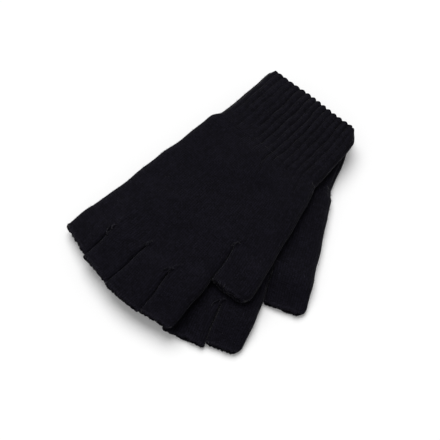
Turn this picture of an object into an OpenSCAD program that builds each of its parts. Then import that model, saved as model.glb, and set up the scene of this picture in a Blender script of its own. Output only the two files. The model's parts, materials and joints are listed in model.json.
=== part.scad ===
// A pair of knitted fingerless gloves lying flat, the left one turned across the right one.
// Each glove is a chain of knitted tubes: ribbed cuff, palm up to the thumb, palm up to the
// knuckles, four finger stalls and a thumb stall, each stall closed by a bound-off edge.
// Millimetres, +Z up. The right glove lies on z = 0 and points along +Y.

/* [Hand] */
// Length from the cuff's edge to the highest fingertip corner
glove_length = 196; // [190:0.5:206]
// Width of the palm across the knuckles
knuckle_width = 99; // [94:1:104]
// Length from the cuff's edge to the thumb crotch
thumb_crotch = 122; // [116:0.5:128]
// Width of the hand across the palm and the thumb root
thumb_span = 116; // [112:0.5:121]
// Height of a glove lying flat, both layers and the air between
lie_height = 9; // [8.4:0.2:10]
// Thickness of the plain knit
knit = 1.4; // [1.2:0.1:1.6]

/* [Cuff] */
// Length of the ribbed cuff
cuff_length = 52; // [46:1:58]
// Width of the cuff at its edge
cuff_width = 80.5; // [77:0.5:83]
// Width of the cuff where it meets the palm
wrist_width = 87.5; // [85:0.5:89]
// Ribs around the cuff
rib_count = 34; // [28:2:38]
// Depth of the grooves between ribs
rib_depth = 0.8; // [0.4:0.1:1]
// Thickness of the ribbed knit
rib_knit = 1.8; // [1.6:0.1:2]
// Length of the tubular welt that starts the cuff
welt_length = 3; // [2:0.5:5]
// Rubber threads laid inside the cuff
elastic_count = 5; // [3:1:6]

/* [Stalls] */
// Length of the longest finger stall, edge included
stall_length = 34; // [29:0.5:39]
// Length of the thumb stall at its inner side, edge included
thumb_length = 27; // [23:0.5:32]
// Gap between neighbouring stalls
slit = 0.8; // [0.6:0.1:1.2]
// Length of the bound-off edge of a stall
edge_length = 2.6; // [2:0.2:3.6]

/* [Lie] */
// Turn of the left glove on the right one, in degrees
turn = 15.2; // [12:0.2:18]
// Sideways step of the left wrist from the right wrist
wrist_step = 6; // [4:0.5:8]
// Lengthwise step of the left wrist from the right wrist
wrist_slip = 2.9; // [1:0.1:5]
// Slope of the left glove where it hangs over the right one's side
fall = 0.16; // [0.1:0.02:0.2]

/* [Hidden] */
FINGERS = ["index", "middle", "ring", "little"];
SECTIONS = ["cuff", "cuff_welt", "cuff_elastic", "palm_base", "palm_top", "crotch_stitches"];
SIDES = ["right", "left"];
STALLS = concat(FINGERS, ["thumb"]);

yarn_black = [0.09, 0.09, 0.105];
edge_black = [0.11, 0.11, 0.125];
rubber_grey = [0.22, 0.21, 0.2];

// Clearances
joint_gap = 0.3;        // between a stall's root and the palm that carries it
stack_gap = 0.9;        // between the two gloves
edge_proud = 0.3;       // rise of a bound-off edge above its stall
elastic_gap = 0.15;     // between a rubber thread and the cuff's inside

// Rows of the plan, counted from the cuff's edge
knuckle_row = glove_length - stall_length;
swell_row = cuff_length + 5;      // where the palm has swollen out past the cuff
origin_row = 95;                  // row of the right glove over the part's origin

// Sides of the plan: the little finger is on +X, the thumb on -X
wrist_lean = -2.8;                               // the wrist's middle lies towards the thumb
wrist_little = wrist_lean + wrist_width / 2;
wrist_thumb = wrist_lean - wrist_width / 2;
swell = [2.4, 3.2];                              // rise of the palm past the cuff, thumb and little side
crotch_little = 0.948 * knuckle_width / 2;
crotch_thumb = crotch_little - thumb_span;       // outer side of the thumb root
crotch_palm = -0.837 * knuckle_width / 2;        // inner side of the thumb crotch

// The five sides of the four finger stalls, from the index to the little finger
side_share = [0, 0.24, 0.486, 0.737, 1];         // of the knuckle width
side_drift = [-2.4, -3.6, 1.5, 1.9, 3.3];        // sideways run from knuckle to fingertip
side_reach = [0.75, 0.944, 1, 0.876, 0.65];      // of the longest stall
thumb_drift = -5.7;                              // sideways run of the thumb's outer side
thumb_outer_reach = 0.93;                        // of the thumb's length

// The left glove rests on the right one and hangs down past its little-finger side
left_base = lie_height + stack_gap;
fold_clear = 5;         // the fall starts this far past the right glove's side
fold_soft = 8;          // roundness of the fold

// Facets
arc = 5;                // of each round side of a tube
plain_flat = 4;         // of each flat face of a tube
rib_points = 4;         // points to one rib

// Plan geometry

function mix(a, b, t) = a + (b - a) * t;
function turned(p, angle) = [p.x * cos(angle) - p.y * sin(angle), p.x * sin(angle) + p.y * cos(angle)];
function across(x_thumb, x_little, row) = [[x_thumb, row], [x_little, row]];

function knuckle_x(i) = (side_share[i] - 0.5) * knuckle_width;
// Half a slit belongs to each stall, but none on the hand's two outer sides
function slit_in(i) = i == 0 || i == 4 ? 0 : slit / 2;
function finger_root(i, inward) = [knuckle_x(i) + inward * slit_in(i), knuckle_row + joint_gap];
function finger_tip(i, inward) = [
    knuckle_x(i) + side_drift[i] + inward * slit_in(i),
    knuckle_row + side_reach[i] * stall_length];

// A stall as its root line and its tip line, each from the thumb side to the little-finger side
function finger_lines(k) = [
    [finger_root(k, 1), finger_root(k + 1, -1)],
    [finger_tip(k, 1), finger_tip(k + 1, -1)]];
// The thumb lies along the palm's side, one slit away from it
function palm_side(row) = mix(crotch_palm, knuckle_x(0), (row - thumb_crotch) / (knuckle_row - thumb_crotch));
function thumb_lines() = let (row = thumb_crotch + joint_gap, end = row + thumb_length) [
    across(crotch_thumb, palm_side(row) - slit, row),
    [[crotch_thumb + thumb_drift, row + thumb_outer_reach * thumb_length],
     [palm_side(end) - slit, end]]];
function stall_lines(name) = name == "thumb" ? thumb_lines()
    : finger_lines(search([name], FINGERS)[0]);
function part_way(lines, t) = [mix(lines[0][0], lines[1][0], t), mix(lines[0][1], lines[1][1], t)];
// Share of a stall's length at which its bound-off edge starts
function edge_start(lines) = 1 - edge_length / norm(lines[1][1] - lines[0][1]);

// Sections: closed rings of points around a flattened tube

// A ring with round sides and flat faces, from plan point a to plan point b
function plain_ring(a, b, low, high) =
    let (r = (high - low) / 2, d = (b - a) / norm(b - a), ca = a + d * r, cb = b - d * r)
    concat(
        [for (i = [0:arc]) let (t = -90 + 180 * i / arc)
            [each (cb + d * r * cos(t)), low + r + r * sin(t)]],
        [for (k = [1:plain_flat - 1]) [each mix(cb, ca, k / plain_flat), high]],
        [for (i = [0:arc]) let (t = 90 + 180 * i / arc)
            [each (ca + d * r * cos(t)), low + r + r * sin(t)]],
        [for (k = [1:plain_flat - 1]) [each mix(ca, cb, k / plain_flat), low]]);

// A point on the same outline at a share s of its way around, moved in by a depth
function on_outline(a, b, high, s, depth) =
    let (r = high / 2, d = (b - a) / norm(b - a), ca = a + d * r, cb = b - d * r,
         flat = norm(cb - ca), round = PI * r, way = s * 2 * (flat + round), in = r - depth)
    way < flat ? [each (ca + d * way), high - depth]
    : way < flat + round ? let (t = 90 - 180 * (way - flat) / round)
        [each (cb + d * in * cos(t)), r + in * sin(t)]
    : way < 2 * flat + round ? [each (cb - d * (way - flat - round)), depth]
    : let (t = 270 - 180 * (way - 2 * flat - round) / round)
        [each (ca + d * in * cos(t)), r + in * sin(t)];

function rib_groove(i) = rib_depth * (1 - cos(360 * i / rib_points)) / 2;
function rib_ring(line, rise) = [for (i = [rib_count * rib_points - 1:-1:0])
    on_outline(line[0], line[1], lie_height, i / (rib_count * rib_points), rib_groove(i) - rise)];
function rib_inside(line) = [for (i = [rib_count * rib_points - 1:-1:0])
    on_outline(line[0], line[1], lie_height, i / (rib_count * rib_points), rib_knit)];

// The cuff's plan line at a row
function cuff_line(row) = let (t = row / cuff_length)
    across(mix(-cuff_width / 2, wrist_thumb, t), mix(cuff_width / 2, wrist_little, t), row);

// Lie of a glove: the right one is flat, the left one falls away past the right one's side

function to_left(p) = turned(p - [wrist_step, cuff_length - wrist_slip], turn) + [0, cuff_length];
fold_a = to_left([wrist_little + swell[1], swell_row]);
fold_b = to_left(finger_tip(4, 0));
fold_dir = (fold_b - fold_a) / norm(fold_b - fold_a);
function past_fold(p) = (p.x - fold_a.x) * fold_dir.y - (p.y - fold_a.y) * fold_dir.x - fold_clear;
function drop(p) = let (d = past_fold(p)) fall * (d + sqrt(d * d + fold_soft * fold_soft)) / 2;
function lie(p, side) = side == "right" ? p : [p.x, p.y, p.z + left_base - drop(p)];

module place(side) {
    translate([0, -origin_row, 0])
        if (side == "right") children();
        else translate([wrist_step, cuff_length - wrist_slip, 0]) rotate(-turn)
            translate([0, -cuff_length, 0]) children();
}

// A knitted tube through outer and inner rings, open at both ends

module tube(outer, inner, side) {
    n = len(outer[0]);
    rings = len(outer);
    points = [for (p = concat([for (r = outer) each r], [for (r = inner) each r])) lie(p, side)];
    first_in = n * rings;
    last = n * (rings - 1);
    faces = [for (i = [0:n - 1]) let (j = (i + 1) % n) each concat(
        [for (k = [0:rings - 2]) let (q = k * n) each [
            [q + i, q + n + i, q + n + j], [q + i, q + n + j, q + j],
            [first_in + q + i, first_in + q + n + j, first_in + q + n + i],
            [first_in + q + i, first_in + q + j, first_in + q + n + j]]],
        [[i, j, first_in + j], [i, first_in + j, first_in + i],
         [last + i, first_in + last + j, last + j],
         [last + i, first_in + last + i, first_in + last + j]])];
    place(side) polyhedron(points, faces);
}

// A plain tube along plan lines; rise lifts its top face proud of its neighbours
module plain_tube(lines, side, rise = 0) {
    outer = [for (l = lines) plain_ring(l[0], l[1], 0, lie_height + rise)];
    inner = [for (l = lines) let (d = (l[1] - l[0]) / norm(l[1] - l[0]) * knit)
        plain_ring(l[0] + d, l[1] - d, knit, lie_height - knit)];
    tube(outer, inner, side);
}

// Cuff: two-and-two rib that spreads a little towards the wrist
module cuff(side) {
    lines = [for (row = [welt_length, cuff_length / 2, cuff_length]) cuff_line(row)];
    color(yarn_black) tube([for (l = lines) rib_ring(l, 0)], [for (l = lines) rib_inside(l)], side);
}

// Tubular welt at the start of the cuff: the same ribs with softer grooves
module cuff_welt(side) {
    lines = [cuff_line(0), cuff_line(welt_length)];
    inward = [0.6, 0];
    color(edge_black) tube(
        [for (i = [0:1]) rib_ring(lines[i], -inward[i])],
        [for (i = [0:1]) rib_inside(lines[i])], side);
}

// Covered rubber threads that hold the cuff to the wrist, one thin loop to each inlaid row
module cuff_elastic(side) {
    thread = 0.3;
    spacing = (cuff_length - 2 * welt_length) / (elastic_count + 1);
    color(rubber_grey) for (i = [1:elastic_count])
        tube([for (e = [-0.5, 0.5]) loop_ring(welt_length + i * spacing + e * thread, elastic_gap)],
             [for (e = [-0.5, 0.5]) loop_ring(welt_length + i * spacing + e * thread, elastic_gap + thread)],
             side);
}
function loop_ring(row, inset) = let (l = cuff_line(row), w = rib_knit + inset)
    plain_ring(l[0] + [w, 0], l[1] - [w, 0], w, lie_height - w);

// Palm from the wrist to the thumb crotch
module palm_base(side) {
    lines = concat(
        [cuff_line(cuff_length), across(wrist_thumb - swell[0], wrist_little + swell[1], swell_row)],
        [for (t = [1 / 3, 2 / 3, 1]) across(
            mix(wrist_thumb - swell[0], crotch_thumb, t),
            mix(wrist_little + swell[1], crotch_little, t),
            mix(swell_row, thumb_crotch, t))]);
    color(yarn_black) plain_tube(lines, side);
}

// Palm from the thumb crotch to the knuckles
module palm_top(side) {
    lines = [for (t = [0, 0.35, 0.7, 1]) across(
        mix(crotch_palm, knuckle_x(0), t), mix(crotch_little, knuckle_x(4), t),
        mix(thumb_crotch, knuckle_row, t))];
    color(yarn_black) plain_tube(lines, side);
}

// Finger or thumb stall, up to its bound-off edge
module stall(name, side) {
    lines = stall_lines(name);
    color(yarn_black) plain_tube([for (t = [0, 0.5, 1]) part_way(lines, t * edge_start(lines))], side);
}

// Bound-off edge that ends a stall
module stall_edge(name, side) {
    lines = stall_lines(name);
    color(edge_black) plain_tube([for (t = [edge_start(lines), 1]) part_way(lines, t)], side, edge_proud);
}

// Closing stitches between neighbouring stalls, sewn to the palm at each crotch
module crotch_stitches(side) {
    size = [2.4, 1.4, knit - 0.2];
    places = concat([for (i = [1:3]) [knuckle_x(i), knuckle_row]], [[crotch_palm - slit / 2, thumb_crotch]]);
    color(edge_black) for (p = places) stitch(p, size, side);
}
module stitch(at, size, side) {
    corners = [for (z = [0, 1], c = [[-1, 0], [1, 0], [0.7, 1], [-0.7, 1]])
        lie([at.x + c.x * size.x / 2, at.y + c.y * size.y, lie_height - 0.1 - (1 - z) * size.z], side)];
    place(side) polyhedron(corners, [[0, 1, 2], [0, 2, 3], [4, 6, 5], [4, 7, 6],
        [0, 5, 1], [0, 4, 5], [1, 6, 2], [1, 5, 6], [2, 7, 3], [2, 6, 7], [3, 4, 0], [3, 7, 4]]);
}

for (side = SIDES) {
    cuff(side);
    cuff_welt(side);
    cuff_elastic(side);
    palm_base(side);
    palm_top(side);
    crotch_stitches(side);
    for (name = STALLS) {
        stall(name, side);
        stall_edge(name, side);
    }
}
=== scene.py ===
import json
import math

import bpy
import numpy as np
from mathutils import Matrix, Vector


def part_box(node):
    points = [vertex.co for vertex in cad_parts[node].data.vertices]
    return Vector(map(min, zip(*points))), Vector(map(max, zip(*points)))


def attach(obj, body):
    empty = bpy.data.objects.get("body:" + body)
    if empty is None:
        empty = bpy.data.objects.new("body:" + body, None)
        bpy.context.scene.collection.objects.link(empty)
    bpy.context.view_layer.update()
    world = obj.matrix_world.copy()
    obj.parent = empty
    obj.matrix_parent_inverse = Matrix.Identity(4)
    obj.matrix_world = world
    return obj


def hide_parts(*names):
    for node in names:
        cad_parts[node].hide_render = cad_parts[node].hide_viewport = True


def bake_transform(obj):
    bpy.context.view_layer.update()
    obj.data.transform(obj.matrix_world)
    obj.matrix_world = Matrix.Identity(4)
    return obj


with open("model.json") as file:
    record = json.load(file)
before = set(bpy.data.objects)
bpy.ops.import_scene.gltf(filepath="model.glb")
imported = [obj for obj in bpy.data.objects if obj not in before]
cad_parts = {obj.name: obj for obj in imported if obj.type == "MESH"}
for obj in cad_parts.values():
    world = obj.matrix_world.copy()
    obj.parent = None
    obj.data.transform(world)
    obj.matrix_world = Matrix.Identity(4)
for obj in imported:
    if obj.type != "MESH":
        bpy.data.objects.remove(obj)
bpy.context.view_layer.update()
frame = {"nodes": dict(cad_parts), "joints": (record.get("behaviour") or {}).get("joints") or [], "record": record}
bpy.ops.object.select_all(action="DESELECT")


# Table: a wide sheet of matt white board under one large softbox, with light walls all round.
# The gloves lie loose on it. It is not part of them.
MM = 0.001
board_size = 12.0
board_below = 0.3 * MM         # keeps the board clear of the knit's lowest points
board_colour = (0.86, 0.86, 0.86, 1.0)
board_fill = 0.12              # white that the board shows to the camera even in full shade
room_light = 0.4
softbox_turn, softbox_rise, softbox_far = 38.0, 60.0, 2.0
softbox_power = 2.4
softbox_spread = math.radians(50)
look_at = np.array((7.7, 11.0, 0.0)) * MM
camera_turn, camera_rise, camera_far = 209.3, 57.3, 819 * MM
field_of_view = math.radians(20)


class Shade:
    """One socket of a material. Arithmetic on it adds Math nodes."""

    def __init__(self, tree, socket=None):
        self.tree = tree
        self.socket = socket

    def node(self, kind, settings=(), values=()):
        """Adds a node: its settings first, then the values or links of its sockets."""
        made = self.tree.nodes.new(kind)
        for name, value in dict(settings).items():
            setattr(made, name, value)
        for name, value in dict(values).items():
            if isinstance(value, Shade):
                self.tree.links.new(value.socket, made.inputs[name])
            else:
                made.inputs[name].default_value = value
        return Shade(self.tree, made.outputs[0] if made.outputs else None)

    def out(self, name):
        """Another output of the node that this socket belongs to."""
        return Shade(self.tree, self.socket.node.outputs[name])

    def math(self, operation, *values):
        return self.node("ShaderNodeMath", {"operation": operation}, enumerate(values))

    def __add__(self, other):
        return self.math("ADD", self, other)

    def __sub__(self, other):
        return self.math("SUBTRACT", self, other)

    def __rsub__(self, other):
        return self.math("SUBTRACT", other, self)

    def __mul__(self, other):
        return self.math("MULTIPLY", self, other)

    def __pow__(self, other):
        return self.math("POWER", self, other)

    __radd__ = __add__
    __rmul__ = __mul__


def new_finish(owner):
    """Empties the nodes of a material or world and gives a first handle on them."""
    owner.use_nodes = True
    owner.node_tree.nodes.clear()
    return Shade(owner.node_tree)


def facing(turn, rise, far):
    """Place and rotation from which a camera or lamp looks at the middle of the gloves."""
    turn, rise = math.radians(turn), math.radians(rise)
    back = np.array((math.sin(turn) * math.cos(rise), -math.cos(turn) * math.cos(rise), math.sin(rise)))
    return {"location": look_at + back * far, "rotation": (math.pi / 2 - rise, 0, turn)}


def shown_ray(shade):
    """1 for rays on which the white surround is seen, 0 for rays that only carry light."""
    ray = shade.node("ShaderNodeLightPath")
    return ray.out("Is Camera Ray") + ray.out("Is Glossy Ray") + ray.out("Is Transmission Ray")


bpy.ops.mesh.primitive_plane_add(size=board_size, location=(0, 0, -board_below))
board = bpy.context.object
board.name = "table_board"
board.data.materials.append(bpy.data.materials.new("white_board"))
shade = new_finish(board.data.materials[0])
matt = shade.node("ShaderNodeBsdfDiffuse", {}, {"Color": board_colour})
fill = shade.node("ShaderNodeEmission", {}, {"Strength": shown_ray(shade) * board_fill})
filled = shade.node("ShaderNodeAddShader", {}, {0: matt, 1: fill})
shade.node("ShaderNodeOutputMaterial", {}, {"Surface": filled})

bpy.context.scene.world = bpy.data.worlds.new("light_walls")
shade = new_finish(bpy.context.scene.world)
strength = room_light + shown_ray(shade) * (1 - room_light)
walls = shade.node("ShaderNodeBackground", {}, {"Color": (1, 1, 1, 1), "Strength": strength})
shade.node("ShaderNodeOutputWorld", {}, {"Surface": walls})

bpy.ops.object.light_add(type="SUN", **facing(softbox_turn, softbox_rise, softbox_far))
softbox = bpy.context.object
softbox.name = "softbox"
softbox.data.energy = softbox_power
softbox.data.angle = softbox_spread

bpy.ops.object.camera_add(**facing(camera_turn, camera_rise, camera_far))
camera = bpy.context.object
camera.data.lens = camera.data.sensor_width / 2 / math.tan(field_of_view / 2)
bpy.context.scene.camera = camera
bpy.context.scene.view_settings.view_transform = "Standard"


# Ribbed cuffs: two-and-two rib in black wool-blend yarn, knitted as one seamless tube.
# Each runs from its welt to the wrist, where the ribs die away into the plain knit of the palm.
SIDES = ("right", "left")
STALLS = ("index", "middle", "ring", "little", "thumb")
row_digits = 5                 # of a metre, by which rows of the solids are told apart
mounts = {m["name"]: m for m in frame["record"]["mounts"]}
mouth, along, across = {}, {}, {}
for side in SIDES:
    mount = mounts[side + "_wrist_opening"]
    mouth[side] = np.array(mount["pos_m"][:2])
    along[side] = -np.array(mount["axis"][:2])
    across[side] = np.array((along[side][1], -along[side][0]))


def plan(node):
    """Plan of a right-hand node, counted from the middle of the cuff's edge.
    x runs to the little finger and y to the fingertips. Both gloves are laid from it."""
    points = np.array([v.co for v in frame["nodes"][node].data.vertices])[:, :2]
    return points - mouth["right"]


def corner(node, x, y):
    """The plan point of a node that lies furthest towards a corner."""
    points = plan(node)
    return points[(points @ (x, y)).argmax()]


def rows_of(*nodes):
    """Each row of these tubes as (row, thumb side, little-finger side)."""
    points = np.concatenate([plan(n) for n in nodes])
    rows = points[:, 1].round(row_digits)
    widths = [(row, points[rows == row, 0]) for row in np.unique(rows)]
    return np.array([(row, x.min(), x.max()) for row, x in widths])


cuff_rows = rows_of("right_cuff_welt", "right_cuff")
base_rows = rows_of("right_palm_base")
top_rows = rows_of("right_palm_top")
cuff_start, cuff_end = rows_of("right_cuff")[[0, -1], 0]
crotch_row, knuckle_row = top_rows[[0, -1], 0]
root_row = {s: crotch_row if s == "thumb" else knuckle_row for s in STALLS}
root = {s: [np.array((corner(f"right_{s}_stall", x, -1)[0], root_row[s])) for x in (-1, 1)]
        for s in STALLS}
tip = {s: [corner(f"right_{s}_edge", x, 1) for x in (-1, 1)] for s in STALLS}

# The sides of a glove, as lines of (row, x)
thumb_side = np.concatenate((cuff_rows[:-1, :2], base_rows[:, :2], [tip["thumb"][0][::-1]]))
index_side = np.concatenate((top_rows[:, :2], [tip["index"][0][::-1]]))
little_side = np.concatenate((
    cuff_rows[:-1, ::2], base_rows[:, ::2], top_rows[1:, ::2], [tip["little"][1][::-1]]))
ease_reach, ease_points = 1.5 * MM, 7


def side_at(line, row):
    """A point on one side of the glove, where the line's corners are eased."""
    near = row + np.linspace(-ease_reach, ease_reach, ease_points)
    return np.array((np.interp(near, line[:, 0], line[:, 1]).mean(), row))


def smooth(value):
    """Eases from 0 to 1."""
    value = np.clip(value, 0, 1)
    return value * value * (3 - 2 * value)


settled = 0.95                 # share of the solids' height to which soft knit settles
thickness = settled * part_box("right_palm_base")[1].z
drawn_in = 0.1                 # share of its height that the cuff loses to the drawn-in rib
rise_before, rise_length = 3 * MM, 14 * MM     # where the height comes back, at the wrist
edge_round = 7 * MM            # how far in from its side a lying tube rounds off


def height_at(row):
    """Height of a glove as it lies: flatter at the cuff, puffed out past the wrist."""
    return thickness * (1 - drawn_in + drawn_in * smooth((row - cuff_end + rise_before) / rise_length))


def hand_at(row):
    """Section of the cuff and the lower palm at a row: its sides, its height and how they round off."""
    return side_at(thumb_side, row), side_at(little_side, row), height_at(row), (edge_round, edge_round)


least_length = 1e-12


def unit(vectors):
    """The same directions, each at length 1."""
    return vectors / np.maximum(np.linalg.norm(vectors, axis=-1, keepdims=True), least_length)


# The upper glove's stalls are pulled out a little, and the lower one's hidden ones are drawn back
# under it: how far, in millimetres, at both ends of each stall's mouth
pulled = {"right": ((-0.4, -2.6), (0, -1), (-4, -4), (-4, -4), (-1.9, -1.3)),
          "left": ((3.6, 2.2), (2.4, 2), (1.4, 0.6), (-0.3, 0.2), (0, 0))}
ends = {side: {s: [t + unit(t - r) * pull * MM for t, r, pull in zip(tip[s], root[s], pulls)]
               for s, pulls in zip(STALLS, pulled[side])} for side in SIDES}

rest_press = 0.5 * MM          # by which the upper glove sits into the lower one
rest = {"right": 0.0, "left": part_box("left_cuff")[0].z - rest_press}
fold_start = base_rows[1, ::-2]        # on the little-finger side, just past the flare of the wrist
fold_end = tip["little"][1]
fold_clear, fold_soft, fold_slope = 5 * MM, 8 * MM, 0.16


def drop(place):
    """How far the upper glove has sunk past the lower one's little-finger side."""
    way = unit(fold_end - fold_start)
    gap = place - mouth["right"] - fold_start
    past = gap[..., 0] * way[1] - gap[..., 1] * way[0] - fold_clear
    return fold_slope * (past + np.hypot(past, fold_soft)) / 2


crotches = [(root[a][1] + root[b][0]) / 2 for a, b in zip(STALLS[:3], STALLS[1:4])]
slit_places = np.array((root["index"][0][0], *(x for x, y in crotches), root["little"][1][0]))
slit_ends = np.array((0, 1.8, -2.6, 4.6, 0)) * MM      # how far past the knuckle row each slit ends
slit_reach = 15 * MM
crotches.append((root["thumb"][1] + top_rows[0, 1::-1]) / 2)
pucker_leans = (0.5, 0.2, -0.3, 0.1)
pucker_width, pucker_length, pucker_height = 1.3 * MM, 4.5 * MM, 0.8 * MM
pucker_back = 2 * MM           # from a crotch back to the middle of its pucker
ripple_lengths = np.array((17, 25, 33, 41, 49, 57)) * MM
ripple_share = 0.006           # height of a ripple to its length
ripple_turn, ripple_shift = 2.4, 1.9           # radians from one ripple to the next


def swell(x, y, seed):
    """Height of the soft ripples in the upper face, and of the puckers drawn up at the crotches."""
    height = 0
    for k, length in enumerate(ripple_lengths):
        turn = ripple_turn * k + seed
        onward = x * math.cos(turn) + y * math.sin(turn)
        height = height + length * ripple_share * np.sin(
            2 * math.pi * onward / length + ripple_shift * k * seed)
    for (px, py), lean in zip(crotches, pucker_leans):
        b = y - py + pucker_back
        a = x - px - lean * b
        height = height + pucker_height * np.exp(-(a / pucker_width) ** 2 - (b / pucker_length) ** 2)
    return height


# How far the outer corners of the plan round off
worn_cuff = {"thumb": 8 * MM, "little": 2.5 * MM}
worn_stalls = {"right": {"index": 7 * MM, "little": 2.5 * MM, "thumb": 8 * MM},
               "left": {"index": 4 * MM, "little": 2.5 * MM, "thumb": 8 * MM}}
worn_past = 1.5                # knit that stands out past a corner by half its size is drawn in too
worn_corners = {}              # their places, the ways along the end and along the side, and these sizes
for side in SIDES:
    worn_corners[side] = [(thumb_side[0, ::-1], (1, 0), (0, 1), worn_cuff["thumb"]),
                          (little_side[0, ::-1], (-1, 0), (0, 1), worn_cuff["little"])]
    for s, size in worn_stalls[side].items():
        outer = 1 if s == "little" else 0
        end, foot = ends[side][s], root[s][outer]
        worn_corners[side].append((
            end[outer], unit(end[1 - outer] - end[outer]), unit(foot - end[outer]), size))


def round_corner(flat, place, along_end, along_side, size):
    """Draws in the square of cloth at a corner to a quarter of a disc."""
    a, b = np.linalg.solve(np.stack((along_end, along_side), -1), (flat - place).reshape(-1, 2).T)
    a, b = 1 - a / size, 1 - b / size
    near = (a > 0) & (b > 0) & (a < worn_past) & (b < worn_past)
    a, b = np.where(near, a, 0), np.where(near, b, 0)
    pull_a = a - a * np.sqrt(np.maximum(1 - b * b / 2, 0))
    pull_b = b - b * np.sqrt(np.maximum(1 - a * a / 2, 0))
    move = (pull_a[:, None] * along_end + pull_b[:, None] * along_side) * size
    return flat + move.reshape(flat.shape)


wrist_puff = 1.3 * MM          # knit that stands out past the lower wrist's thumb side
puff_start, puff_rise, puff_fall, puff_width = 4 * MM, 4 * MM, 24 * MM, 12 * MM
cuff_spread = 1.6 * MM         # by which the upper cuff has slackened on its little-finger side
spread_reach = 0.8             # share of the cuff's length over which it does so
spread_skew = 0.4              # share of that by which it is drawn up towards the fingers
long_wave, short_wave, row_wave = (0.35 * MM, 9 * MM), (0.2 * MM, 3.7 * MM), (0.4 * MM, 7 * MM)


def wave(place, height, length, start):
    """How far a line of soft knit wanders from its place."""
    return height * np.sin(place / length + start)


def lay(side, points):
    """Puts points of the plan, z counted up from the underside, where the glove lies."""
    flat = points[..., :2]
    for worn in worn_corners[side]:
        flat = round_corner(flat, *worn)
    x, y, z = flat[..., 0], flat[..., 1], points[..., 2]
    y = y + np.interp(x, slit_places, slit_ends) * np.exp(-((y - knuckle_row) / slit_reach) ** 2)
    if side == "right":
        past = y - cuff_end - puff_start
        puff = wrist_puff * smooth(past / puff_rise) * smooth(1 - (past - puff_rise) / puff_fall)
        thumb_end = np.interp(y, thumb_side[:, 0], thumb_side[:, 1])
        x = x - puff * smooth(1 - (x - thumb_end) / puff_width)
    else:
        slack = smooth((cuff_end - y) / cuff_end / spread_reach) * smooth(x / little_side[0, 1])
        x, y = x + cuff_spread * slack, y + spread_skew * cuff_spread * slack
    seed = 1.0 + SIDES.index(side)     # sets the ripples of the two gloves apart
    x = x + wave(y, *long_wave, seed) + wave(y, *short_wave, 3 * seed)
    y = y + wave(x, *row_wave, 2 * seed)
    place = mouth[side] + x[..., None] * across[side] + y[..., None] * along[side]
    height = rest[side] + z + np.clip(z / thickness, 0, 1) * swell(x, y, seed)
    if side == "left":
        height = height - drop(place)
    return np.concatenate((place, np.maximum(height, 0)[..., None]), axis=-1)


half_points = 25               # on each side of a section
slit_power = 6                 # the higher, the nearer to the top a slit's upright side turns over
under_power = 0.55             # the lower, the more squarely the underside sits
least_round = 0.3 * MM
most_round = 0.95              # share of a section's half width


def section(left, right, height, rounds, inset, ways):
    """Points around a flattened tube between two plan points, moved in from its face by inset.
    Its sides roll over by the two rounds: a large one evenly, a small one only near the top,
    as beside a slit. ways are shares of the way around, counted from the middle of the top."""
    span = right - left
    half = np.linalg.norm(span) / 2 - inset
    angle = np.linspace(-math.pi / 2, math.pi / 2, half_points)
    rise = height / 2 + (height / 2 - inset) * np.sin(angle)
    drawn = []
    for size in rounds:
        upright = 1 - size / edge_round
        rolled = (1 - upright) * (1 - np.cos(angle)) + upright * np.sin(angle) ** slit_power
        rolled = np.where(angle < 0, 1 - np.abs(np.cos(angle)) ** under_power, rolled)
        drawn.append(half - min(max(size - inset, least_round), most_round * half) * rolled)
    x = np.concatenate(([0], -drawn[0], [0], drawn[1][::-1], [0]))
    z = np.concatenate((rise[:1], rise, rise[-1:], rise[::-1], rise[:1]))
    length = np.concatenate(([0], np.cumsum(np.hypot(np.diff(x), np.diff(z)))))
    at = length[half_points + 1] + ways * length[-1]
    x = np.interp(at, length, x, period=length[-1])
    z = np.interp(at, length, z, period=length[-1])
    flat = (left + right) / 2 + x[:, None] * unit(span)
    return np.concatenate((flat, z[:, None]), axis=-1)


def outward(points):
    """Normals of a grid of points that closes on itself around, and runs from end to end."""
    around = np.roll(points, -1, 0) - np.roll(points, 1, 0)
    return unit(np.cross(around, np.gradient(points, axis=1)))


def round_turn(count):
    """Equal steps of angle around a circle."""
    return np.arange(count) / count * 2 * math.pi


def circles(first, second, turn):
    """Circles in the planes of pairs of directions."""
    return first[..., None, :] * np.cos(turn)[:, None] + second[..., None, :] * np.sin(turn)[:, None]


def set_maps(mesh, maps, furrow=None):
    """Gives a mesh its UV maps, a place for each corner of a face, and the furrow depth of its vertices,
    by which the yarn's finish paints shade into the furrows. Knit counts stitches: wales around, courses along.
    A furrow is 1 at the bottom between two ribs, where the most shade is painted; below 0 it paints light."""
    for title, places in maps.items():
        layer = mesh.uv_layers.new(name=title)
        layer.data.foreach_set("uv", places.astype(np.float32).ravel())
    if furrow is not None:
        depth = mesh.attributes.new("FurrowShade", "FLOAT", "POINT")
        depth.data.foreach_set("value", furrow.astype(np.float32))


def edit_all(operator, **settings):
    """Runs a mesh operator on all of the active piece."""
    bpy.ops.object.mode_set(mode="EDIT")
    bpy.ops.mesh.select_all(action="SELECT")
    operator(**settings)
    bpy.ops.object.mode_set(mode="OBJECT")


def join(pieces):
    """Joins pieces to the first of them."""
    bpy.ops.object.select_all(action="DESELECT")
    for piece in pieces:
        piece.select_set(True)
    bpy.context.view_layer.objects.active = pieces[0]
    bpy.ops.object.join()
    return pieces[0]


seam_reach = 0.0001 * MM
smooth_angle = math.radians(75)


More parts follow.
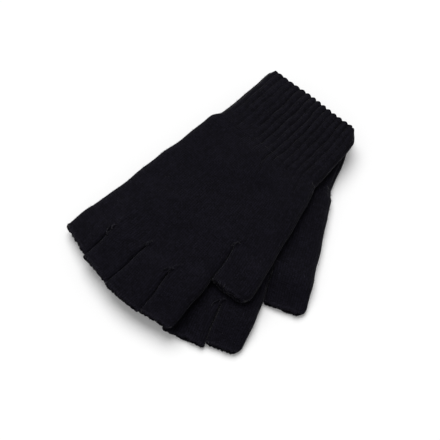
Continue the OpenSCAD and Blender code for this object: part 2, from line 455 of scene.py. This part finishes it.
def rolled_piece(name, points, wale, course, finish, furrow=None):
    """Adds a grid, rolls it up both ways into a closed skin and joins its seams."""
    columns, rows = points.shape[:2]
    bpy.ops.object.select_all(action="DESELECT")
    bpy.ops.mesh.primitive_grid_add(x_subdivisions=columns, y_subdivisions=rows, size=1, calc_uvs=False)
    piece = bpy.context.object
    piece.name = name
    mesh = piece.data
    sheet = np.zeros(len(mesh.vertices) * 3)
    mesh.vertices.foreach_get("co", sheet)
    sheet = sheet.reshape(-1, 3)[:, :2] + 0.5
    i, j = np.rint(sheet * (columns, rows)).astype(int).T
    mesh.vertices.foreach_set("co", points[i % columns, j % rows].astype(np.float32).ravel())
    corners = np.zeros(len(mesh.loops), int)
    mesh.loops.foreach_get("vertex_index", corners)
    wale = np.append(wale, 2 * wale[-1] - wale[-2])
    course = np.append(course, 2 * course[-1] - course[-2])
    knit = np.stack((wale[i], course[j]), -1)
    set_maps(mesh, {"OFBake": sheet[corners], "Knit": knit[corners]},
             None if furrow is None else furrow[i % columns, j % rows])
    edit_all(bpy.ops.mesh.remove_doubles, threshold=seam_reach)
    bpy.ops.object.shade_smooth_by_angle(angle=smooth_angle)
    mesh.materials.append(finish)
    return piece


draws = np.random.default_rng(11)
points_to_fibre = 55
fibre_size = 0.07 * MM
fibre_length = (0.8 * MM, 2.6 * MM)
fibre_root = 0.1 * MM
fibre_sway = 0.35
knee_up, knee_ahead, knee_size = 0.3, 0.4, 0.8         # shares of a fibre's length and thickness
tip_up = 0.25
fibre_painted_light = -5.0             # painted light, on the scale of the furrow shade: the loose fibres are painted lighter, as they stand up into the light
nap_margin = 2                 # rows without nap at both ends of a tube
nap_lowest = -0.2              # upward part of the normal, under which a face has no nap
nap_pressed = 0.3              # press of a slit, over which a side has none


def add_nap(piece, face, normal, pressed, wale, course):
    """Scatters loose fibres over the upper face of a piece, clear of the slits, and joins them to it.
    Each is a bent three-sided spike that starts inside the knit and takes its place on the maps
    from the stitch under it."""
    columns, rows = face.shape[:2]
    count = columns * rows // points_to_fibre
    i = draws.integers(0, columns, count)
    j = draws.integers(nap_margin, rows - nap_margin, count)
    free = (normal[i, j, 2] > nap_lowest) & (pressed[i, j] < nap_pressed)
    i, j = i[free], j[free]
    count = len(i)
    start, up = face[i, j], normal[i, j]
    lean = unit(np.cross(up, draws.normal(size=(count, 3))))
    flank = np.cross(lean, up)
    length = draws.uniform(*fibre_length, (count, 1))
    sway = draws.normal(scale=fibre_sway, size=(count, 1))
    foot = start - fibre_root * up
    knee = start + length * (knee_up * up + knee_ahead * lean)
    point = start + length * (tip_up * up + lean + sway * flank)
    rim = fibre_size * circles(flank, up - lean, round_turn(3))
    spots = np.concatenate((foot[:, None] + rim, knee[:, None] + knee_size * rim, point[:, None]), axis=1)
    spots[..., 2] = np.maximum(spots[..., 2], 0)
    spike = [(0, 1, 4, 3), (1, 2, 5, 4), (2, 0, 3, 5), (3, 4, 6), (4, 5, 6), (5, 3, 6), (2, 1, 0)]
    faces = [[spots.shape[1] * k + v for v in f] for k in range(count) for f in spike]
    mesh = bpy.data.meshes.new(piece.name + "_nap")
    mesh.from_pydata(spots.reshape(-1, 3), [], faces)
    maps = {"OFBake": (i / columns, j / rows), "Knit": (wale[i], course[j])}
    corners = np.repeat(np.arange(count), sum(len(f) for f in spike))
    # Every fibre gets the same negative furrow depth, so the yarn's finish paints it lighter: painted light
    set_maps(mesh, {title: np.stack(place, -1)[corners] for title, place in maps.items()},
             np.full(len(mesh.vertices), fibre_painted_light))
    mesh.materials.append(piece.data.materials[0])
    nap = bpy.data.objects.new(mesh.name, mesh)
    bpy.context.collection.objects.link(nap)
    bpy.ops.object.select_all(action="DESELECT")
    bpy.context.view_layer.objects.active = nap
    nap.select_set(True)
    edit_all(bpy.ops.mesh.normals_make_consistent, inside=False)
    join([piece, nap])


course_height = 1.4 * MM
columns_to_wale = 4
rows_to_course = 3
inside_rows = (1, 0.96, 0.88, 0.72, 0.5, 0.28, 0.1, 0)         # shares of the way, from the tip back
held_courses = 0.7
press_start, press_rise = 0.6, 0.3             # sideways part of the normal at which a slit presses
rib_depth = 1.0 * MM


def knit_tube(name, side, station, start, end, wales, top_wale, wall, relief, finish):
    """Knits a tube with its inside, from one row to another. station gives its section at a row,
    top_wale is the wale that runs up the middle of its top, and relief gives the heights of its
    stitches and of its ribs. The stitches are held flat at both ends, where the next tube goes on,
    and where a slit presses its side."""
    courses = round((end - start) / course_height)
    out = np.arange(courses * rows_to_course + 1) / (courses * rows_to_course)
    share = np.concatenate((out, inside_rows))
    inset = np.repeat((0, wall), (len(out), len(inside_rows)))
    face = slice(0, len(out))
    wale = math.floor(top_wale) - wales // 2 + np.arange(wales * columns_to_wale) / columns_to_wale
    ways = (wale - top_wale) / wales
    stations = [station(start + s * (end - start)) for s in share]
    rings = np.stack([section(*at, depth, ways) for at, depth in zip(stations, inset)], axis=1)
    points = lay(side, rings)
    held = smooth(courses * np.minimum(out, 1 - out) / held_courses)
    normal = outward(points[:, face])
    flank = normal[..., :2] @ across[side]
    upright = 1 - np.where(flank < 0, *np.transpose([at[3] for at in stations[face]])) / edge_round
    pressed = upright * smooth((np.abs(flank) - press_start) / press_rise)
    stitches, ribs = relief(wale[:, None], out * courses, rings[:, face, 1])
    points[:, face] += normal * (stitches * held * (1 - pressed) + ribs)[..., None]
    # Depth of the furrows between ribs, by which the yarn's finish paints shade into them
    furrow = np.zeros(points.shape[:2])
    furrow[:, face] = -ribs / rib_depth
    piece = rolled_piece(name, points, wale, share * courses, finish, furrow)
    add_nap(piece, points[:, face], outward(points[:, face]), pressed, wale, share * courses)
    return piece


# Ribs are counted from the middle of the top: over the little-finger side, under the hand, and back
rib_count = 34
rib_fade = 13 * MM
rib_power = 0.7                # the lower, the narrower the furrows between the ribs' backs
rib_sway = 0.035               # share of a rib by which its furrows wander
rib_at_edge, rib_loss = 1.2, 0.3               # strength at the edge, and its loss up to the wrist
slow_sway, quick_sway = (8 * MM, 7), (3.1 * MM, 17)    # length, and turns on the way around the cuff
rib_ends, rib_strengths = (-12 * MM, 1 * MM), (0.75, 1.1)      # ends past the wrist, and depths
rib_end = draws.uniform(*rib_ends, rib_count + 1)
rib_strength = draws.uniform(*rib_strengths, rib_count + 1)
rib_end[2:9] -= 3 * MM             # towards the little finger they die away first
rib_end[:2] += 4 * MM              # in the middle of the top later
rib_end[26:34] += 8 * MM           # and towards the thumb last
rib_strength[4:8] *= 0.7           # worn flat on the little-finger side
rib_strength[25:28] *= 0.6         # and where the cuff turns over at the thumb side
rib_end[-1], rib_strength[-1] = rib_end[0], rib_strength[0]


def ribbing(rib, row):
    """Depth of the ribs: round backs with a narrow furrow at each whole number."""
    around = 2 * math.pi * rib / rib_count
    for length, turns in (slow_sway, quick_sway):
        rib = rib + wave(row, rib_sway, length, turns * around)
    back = np.abs(np.sin(math.pi * rib)) ** rib_power
    place = rib % rib_count
    end = cuff_end + np.interp(place, np.arange(rib_count + 1), rib_end)
    fade = smooth((end + rib_fade - row) / rib_fade)
    strength = np.interp(place, np.arange(rib_count + 1), rib_strength)
    return rib_depth * strength * (rib_at_edge - rib_loss * row / cuff_end) * fade * (back - 1)


stitch_lean = 1.2              # courses to a wale, by which the legs of a stitch climb
cloud_scale, fibre_scale = 60.0, 2000.0
# Shares of the colour: painted light on the legs, painted shade in the furrows, random tone from tone, fibre and
# cloud
leg_light, tone_light, fibre_light, cloud_light = 0.3, 0.45, 1.8, 0.25
furrow_shade = 0.35
mean_ridge, mean_light = 0.64, 1.015           # taken off, so that the yarn keeps its colour on the whole
leg_bump, tone_bump, fibre_bump = 0.7, 0.3, 0.6


def yarn_finish(name, yarn, furrow, roughness, ridges):
    """Black wool-blend yarn with a soft nap and random tone, and with painted light and shade: the legs
    of the stitches and the backs of the wales are painted lighter, the hollows between them and the furrows
    between ribs darker, and the nap's fibres lighter. ridges is how much lighter each wale's back is painted."""
    finish = bpy.data.materials.new(name)
    shade = new_finish(finish)
    knit = shade.node("ShaderNodeUVMap", {"uv_map": "Knit"})
    stitch = shade.node("ShaderNodeSeparateXYZ", {}, {"Vector": knit})
    wale, course = stitch.out("X"), stitch.out("Y")
    part = wale.math("FRACT", wale)
    climb = course - wale.math("ABSOLUTE", part - 0.5) * stitch_lean
    legs = wale.math("SINE", part * (2 * math.pi)) ** 2
    ridge = wale.math("SINE", part * math.pi)
    waist = wale.math("COSINE", climb * (2 * math.pi)) * 0.5 + 0.5
    # Painted shade in the furrows between ribs, and painted light on the nap's fibres, from their depth
    depth = shade.node("ShaderNodeAttribute", {"attribute_name": "FurrowShade"}).out("Fac")
    loop = shade.node("ShaderNodeCombineXYZ", {}, {
        0: wale.math("FLOOR", wale), 1: wale.math("FLOOR", climb)})
    tone = shade.node("ShaderNodeTexWhiteNoise", {"noise_dimensions": "2D"}, {"Vector": loop})
    place = shade.node("ShaderNodeTexCoord").out("Object")
    cloud = shade.node("ShaderNodeTexNoise", {}, {"Vector": place, "Scale": cloud_scale, "Detail": 3.0})
    fibre = shade.node("ShaderNodeTexNoise", {}, {"Vector": place, "Scale": fibre_scale, "Detail": 2.0})
    # Painted light and shade: the backs of the wales and the legs of the stitches lighter, the hollows between
    # them darker
    weave_light_and_shade = (ridge - mean_ridge) * ridges + legs * (waist * 0.5 + 0.5) * leg_light
    light = weave_light_and_shade + tone * tone_light + fibre * fibre_light + cloud * cloud_light
    light = light - depth * furrow_shade - mean_light
    mix = shade.node("ShaderNodeMix", {"data_type": "RGBA", "clamp_factor": False}, {
        0: light.math("MAXIMUM", light, 0), 6: furrow, 7: yarn})
    bump = shade.node("ShaderNodeBump", {}, {
        "Strength": 0.8, "Distance": 0.3 * MM,
        "Height": legs * waist * leg_bump + tone * tone_bump + fibre * fibre_bump})
    cloth = shade.node("ShaderNodeBsdfPrincipled", {}, {
        "Base Color": mix.out(2), "Roughness": roughness, "Normal": bump,
        "Specular IOR Level": 0.06, "Sheen Weight": 0.12, "Sheen Roughness": 0.3})
    shade.node("ShaderNodeOutputMaterial", {}, {"Surface": cloth})
    return finish


cuff_wall = 1.8 * MM
rib_wales = 3 * rib_count
stitch_depth = 0.3 * MM
back_middle, back_width = 0.36, 0.56           # of the back of a rib, which carries two wales
wale_height, course_ripple = 0.3, 0.2          # shares of a stitch's depth
# The second colour is the dark end of the painted shade in the hollows and furrows, and of the random tone
knit_colour, tone_and_shade_colour = (0.0084, 0.0076, 0.0132, 1), (0.0008, 0.0006, 0.0015, 1)
rib_finish = yarn_finish("black_rib_knit", knit_colour, tone_and_shade_colour, roughness=0.88, ridges=0.15)


def rib_relief(wale, course, row):
    """Ribs, with two small wales of stitches on the back of each."""
    rib = wale * rib_count / rib_wales
    wales = wale_height * np.cos(4 * math.pi * (rib - back_middle) / back_width)
    stitches = wales + course_ripple * np.cos(2 * math.pi * course)
    return stitch_depth * np.abs(np.sin(math.pi * rib)) * stitches, ribbing(rib, row)


for side in SIDES:
    cuff = knit_tube(side + "_cuff_rib", side, hand_at, cuff_start, cuff_end,
                     rib_wales, 0, cuff_wall, rib_relief, rib_finish)
    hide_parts(side + "_cuff")
    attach(cuff, side + "_hand")


# Cuff welts: the first few courses, knitted as a narrow tube so that the edge does not curl or run.
# The ribs carry through them, and each rib ends in a small round lobe.
welt_lobe = 0.9 * MM
welt_courses = 2
welt_rows, lip_rows = 8, 8
welt_lip = 0.12                # share of the welt's length by which its edge rounds out
lobe_loss = 0.25               # share of their depth that the ribs lose at the edge

# The rows run down the inside, round the edge and up the face
out = np.linspace(0, 1, welt_rows)
lip = np.linspace(0, math.pi, lip_rows + 2)[1:-1]
share = np.concatenate((out[::-1], -welt_lip * np.sin(lip), out))
wall_share = np.concatenate((np.ones(welt_rows), (1 + np.cos(lip)) / 2, np.zeros(welt_rows)))
wale = np.arange(rib_wales * columns_to_wale) / columns_to_wale - rib_wales // 2
rings = np.stack([section(*hand_at(s * cuff_start), cuff_wall * depth, wale / rib_wales)
                  for s, depth in zip(share, wall_share)], axis=1)
rib = wale[:, None] * rib_count / rib_wales
near = smooth(1 - share)
rings[..., 1] -= welt_lobe * np.abs(np.sin(math.pi * rib)) * near
ribs = ribbing(rib, rings[..., 1]) * (1 - lobe_loss * near) * (1 - wall_share)
for side in SIDES:
    points = lay(side, rings)
    points = points + outward(points) * ribs[..., None]
    # The last argument is the depth of the furrows between ribs, by which the yarn's finish paints shade into them
    welt = rolled_piece(side + "_welt_rib", points, wale, share * welt_courses, rib_finish,
                        -ribs / rib_depth)
    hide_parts(side + "_cuff_welt")
    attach(welt, side + "_hand")


# Rubber threads: thin covered elastic laid into the cuff while it is knitted, one loop to a row.
# They lie against the inside of the rib and draw the cuff in on the wrist.
thread_count = 5
thread_radius = 0.2 * MM
thread_inset = cuff_wall + 1.5 * thread_radius         # from the face of the rib to a thread's middle
thread_points, thread_sides = 160, 6
wrap_scale = 2500.0
rubber_dark, rubber_pale = (0.02, 0.02, 0.02, 1), (0.06, 0.058, 0.055, 1)
rubber = bpy.data.materials.new("covered_rubber")
shade = new_finish(rubber)
place = shade.node("ShaderNodeTexCoord").out("Object")
wrap = shade.node("ShaderNodeTexNoise", {}, {"Vector": place, "Scale": wrap_scale, "Detail": 1.0})
mix = shade.node("ShaderNodeMix", {"data_type": "RGBA"}, {0: wrap, 6: rubber_dark, 7: rubber_pale})
cover = shade.node("ShaderNodeBsdfPrincipled", {}, {
    "Base Color": mix.out(2), "Roughness": wrap * 0.3 + 0.5})
shade.node("ShaderNodeOutputMaterial", {}, {"Surface": cover})

for side in SIDES:
    loops = []
    for k in range(thread_count):
        row = cuff_start + (cuff_end - 2 * cuff_start) * (k + 1) / (thread_count + 1)
        ways = np.arange(thread_points) / thread_points
        ring = section(*hand_at(row), thread_inset, ways)
        inward = unit(np.array((0, row, height_at(row) / 2)) - ring)
        turn = round_turn(thread_sides)
        points = ring[:, None] + thread_radius * circles(-inward, np.array((0, 1, 0)), turn)
        loops.append(rolled_piece(f"{side}_thread_{k}", lay(side, points), ways, turn, rubber))
    threads = join(loops)
    threads.name = side + "_rubber_threads"
    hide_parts(side + "_cuff_elastic")
    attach(threads, side + "_hand")


# Lower palms: plain knit over all five fingers, from the wrist to the thumb crotch.
# They are the same seamless tube as the cuff, widened stitch by stitch towards the thumb.
palm_wall = 1.4 * MM
base_wales = 140
leg_height, ridge_height, stitch_floor = 0.7, 0.5, 0.5         # shares of a stitch's depth
waist_share = 0.4              # of a leg's height, which it loses where the next loop grips it
plain_finish = yarn_finish("black_plain_knit", knit_colour, tone_and_shade_colour, roughness=0.9, ridges=0.45)


def plain_stitches(wale, course):
    """Height of plain knitting: each stitch is a V of two legs, with a furrow between wales."""
    part = wale % 1
    legs = leg_height * np.sin(2 * math.pi * part) ** 2 + ridge_height * np.sin(math.pi * part)
    waist = 0.5 + 0.5 * np.cos(2 * math.pi * (course - stitch_lean * np.abs(part - 0.5)))
    return stitch_depth * (legs * (1 - waist_share + waist_share * waist) - stitch_floor)


def base_relief(wale, course, row):
    """Plain stitches, into which the ends of the ribs run."""
    return plain_stitches(wale, course), ribbing(wale * rib_count / base_wales, row)


for side in SIDES:
    palm = knit_tube(side + "_palm_base_knit", side, hand_at, cuff_end, crotch_row,
                     base_wales, 0, palm_wall, base_relief, plain_finish)
    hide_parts(side + "_palm_base")
    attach(palm, side + "_hand")


# Upper palms: plain knit over four fingers, from the thumb crotch to the knuckles.
# The thumb side starts square against the thumb stall and rounds off away from the crotch.
top_wales = 118
crotch_round = 0.8 * MM
crotch_reach = 14 * MM
girth_to_width = 2.06          # of a tube that lies flat


def top_at(row):
    """Section of the upper palm at a row."""
    opened = smooth((row - crotch_row) / crotch_reach)
    thumb_round = crotch_round + (edge_round - crotch_round) * opened
    return side_at(index_side, row), side_at(little_side, row), thickness, (thumb_round, edge_round)


def plain_relief(wale, course, row):
    """Plain stitches with no ribs."""
    return plain_stitches(wale, course), np.zeros(row.shape)


def wales_aside(tube, wales, next_tube):
    """How many wales of a tube lie between its middle and the middle of one that is knitted on to it."""
    left, right = (point[0] for point in tube)
    next_left, next_right = (point[0] for point in next_tube)
    pitch = (right - left) * girth_to_width / wales
    return ((next_left + next_right) / 2 - (left + right) / 2) / pitch


base_end = hand_at(crotch_row)[:2]
palm_wale = wales_aside(base_end, base_wales, top_at(crotch_row)[:2])
for side in SIDES:
    palm = knit_tube(side + "_palm_top_knit", side, top_at, crotch_row, knuckle_row,
                     top_wales, palm_wale, palm_wall, plain_relief, plain_finish)
    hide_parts(side + "_palm_top")
    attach(palm, side + "_hand")


# Finger and thumb stalls: short plain tubes knitted on from the palm, open at the end.
# Neighbours lie side by side, square at the crotch and rounded over towards the mouth,
# so that a dark slit shows between them.
stall_wales = 38
stall_round = 4.0 * MM
slit_gap = 0.02 * MM
slit_close = (root["middle"][0][0] - root["index"][1][0] - slit_gap) / 2
thumb_press = 0.15 * MM        # the thumb lies shut against the side of the palm
outer_sides = {"index": (1, 0), "little": (0, 1), "thumb": (1, 0)}
tip_height = {side: dict.fromkeys(STALLS, 4.4 * MM) for side in SIDES}
tip_height["left"]["thumb"] = 6.8 * MM
full_share = 0.1               # of a stall's length, before it starts to flatten towards the mouth
bend_reach = 12 * MM
edge_length = np.linalg.norm(tip["index"][1] - corner("right_index_stall", 1, 1))
hinge = {j["name"]: np.array(j["pos_m"]) for j in frame["joints"] if "pos_m" in j}


def stall_length(name, side):
    """From the root of a stall to where its bound-off edge starts."""
    return np.linalg.norm(ends[side][name][1] - root[name][1]) - edge_length


def stall_at(name, side, way):
    """Section of a stall, some way from its root."""
    length = stall_length(name, side)
    share = way / (length + edge_length)
    left, right = (r + (e - r) * share for r, e in zip(root[name], ends[side][name]))
    outer = outer_sides.get(name, (0, 0))
    left[0] -= (1 - outer[0]) * slit_close
    right[0] += (1 - outer[1]) * slit_close
    if name == "thumb":
        right[0] = side_at(index_side, right[1])[0] + thumb_press
    slit_round = crotch_round + (stall_round - crotch_round) * smooth(way / crotch_reach)
    rounds = [edge_round if is_outer else slit_round for is_outer in outer]
    flattened = smooth(way / length * (1 + full_share) - full_share)
    return left, right, thickness + (tip_height[side][name] - thickness) * flattened, rounds


top_end = top_at(knuckle_row)[:2]
for side in SIDES:
    onward = np.append(along[side], 0)
    for k, name in enumerate(STALLS):
        if name == "thumb":
            stall_wale = wales_aside(base_end, base_wales, root[name])
            late = 0
        else:
            stall_wale = palm_wale + wales_aside(top_end, top_wales, root[name])
            late = max(slit_ends[k:k + 2].max(), 0)
        stall = knit_tube(f"{side}_{name}_stall_knit", side, lambda way: stall_at(name, side, way),
                          0, stall_length(name, side), stall_wales, stall_wale, palm_wall,
                          plain_relief, plain_finish)
        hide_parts(f"{side}_{name}_stall")
        bend_start = hinge[f"{side}_{name}_curl"] + onward * late
        bend_end = bend_start + onward * bend_reach
        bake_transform(stall)


# Bound-off edges: the last course of each stall, its loops chained over one another round the mouth.
# The chain is thicker than the knit and stands up in small uneven scallops.
rim_columns = 6
rim_rows = 14
rim_share = {side: dict.fromkeys(STALLS, 0.235) for side in SIDES}     # chain to the mouth's height
rim_share["left"]["thumb"] = 0.275
rim_proud = 0.25 * MM
rim_reach = 0.62 * edge_length
rim_ahead = 0.18 * edge_length         # its middle, past the end of the stall that it grips
rim_step = 0.2 * MM                    # inwards, to find which way is out
rim_ragged = 0.45 * MM
rim_uneven = (0.85, 1.15)
link_neck, link_swell, link_skew = 0.78, 0.28, 0.4     # a link's size, what it gains, its slant
# The second colour is the dark end of the painted shade in the hollows between wales, and of the random tone
edge_colour, edge_tone_and_shade_colour = (0.0115, 0.0104, 0.0175, 1), (0.001, 0.0008, 0.0018, 1)
edge_finish = yarn_finish("black_edge_chain", edge_colour, edge_tone_and_shade_colour, roughness=0.88, ridges=0.3)
for side in SIDES:
    for name in STALLS:
        left, right, height, rounds = stall_at(name, side, stall_length(name, side))
        rim_wall = rim_share[side][name] * height
        inset = rim_wall - rim_proud
        wale = np.arange(stall_wales * rim_columns) / rim_columns
        ring = section(left, right, height, rounds, inset, wale / stall_wales)
        out = unit(ring - section(left, right, height, rounds, inset + rim_step, wale / stall_wales))
        onward = np.append(unit(sum(ends[side][name]) - sum(root[name])), 0)
        rag = draws.uniform(-1, 1, stall_wales)
        rag = np.interp(wale, np.arange(stall_wales), rag, period=stall_wales)
        uneven = np.repeat(draws.uniform(*rim_uneven, stall_wales), rim_columns)[:, None]
        turn = round_turn(rim_rows)
        link = np.abs(np.sin(math.pi * (wale[:, None] + link_skew * np.abs(np.cos(turn)))))
        size = (link_neck + link_swell * link) * uneven
        ahead = (rim_ragged * rag + rim_ahead)[:, None] + size * rim_reach * np.sin(turn)
        proud = size * rim_wall * np.cos(turn)
        points = ring[:, None] + out[:, None] * proud[..., None] + onward * ahead[..., None]
        edge = rolled_piece(f"{side}_{name}_edge_chain", lay(side, points), wale, turn / math.pi * 2,
                            edge_finish)
        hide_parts(f"{side}_{name}_edge")
        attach(edge, f"{side}_{name}")


# Closing stitches: a few turns of yarn that draw the knit together at the end of each slit.
# They are sewn through the palm and stand up as small tufts, one loop of each worked loose.
tuft_yarn = 0.45 * MM
tuft_loops = 3
tuft_points, tuft_sides = 28, 8
tuft_size = (0.9 * MM, 1.3 * MM)
tuft_tilt = 0.5
tuft_across, tuft_along, tuft_rise = 0.6, 1.7, 0.5     # shares of a loop's size
tuft_pitch = 0.5 * MM
tuft_back = 0.5 * MM                   # from a crotch back to the middle of its tuft
tuft_reach = (2.0, 1.4, 2.6, 1.2)      # how much longer the last loop at each slit has worked loose
tuft_hook, hook_length = 0.5 * MM, 1.1 * MM
for side in SIDES:
    loops = []
    for k, ((px, py), lean) in enumerate(zip(crotches, pucker_leans)):
        for n in range(tuft_loops):
            turn, ring = round_turn(tuft_points), round_turn(tuft_sides)
            tilt = lean + draws.uniform(-tuft_tilt, tuft_tilt)
            width, length = draws.uniform(*tuft_size, 2)
            reach = tuft_reach[k] if n == tuft_loops - 1 else 1
            onward = length * (reach * np.sin(turn) + reach - 1)
            hook = tuft_hook * (reach - 1) * np.sin(onward / hook_length)
            aside = tuft_across * width * np.cos(turn) + tilt * onward + hook + (n - 1) * tuft_pitch
            path = np.stack((aside, tuft_along * onward, tuft_rise * width * np.cos(turn)), -1)
            ahead = unit(np.roll(path, -1, 0) - np.roll(path, 1, 0))
            flank = unit(np.cross(ahead, (0, 0, 1)))
            tube = path[:, None] + tuft_yarn * circles(flank, np.cross(flank, ahead), ring)
            tube = tube + np.array((px, py - tuft_back, thickness))
            loops.append(rolled_piece(f"{side}_tuft_{k}_{n}", lay(side, tube), turn, ring, edge_finish))
    tufts = join(loops)
    tufts.name = side + "_closing_tufts"
    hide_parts(side + "_crotch_stitches")
    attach(tufts, side + "_hand")
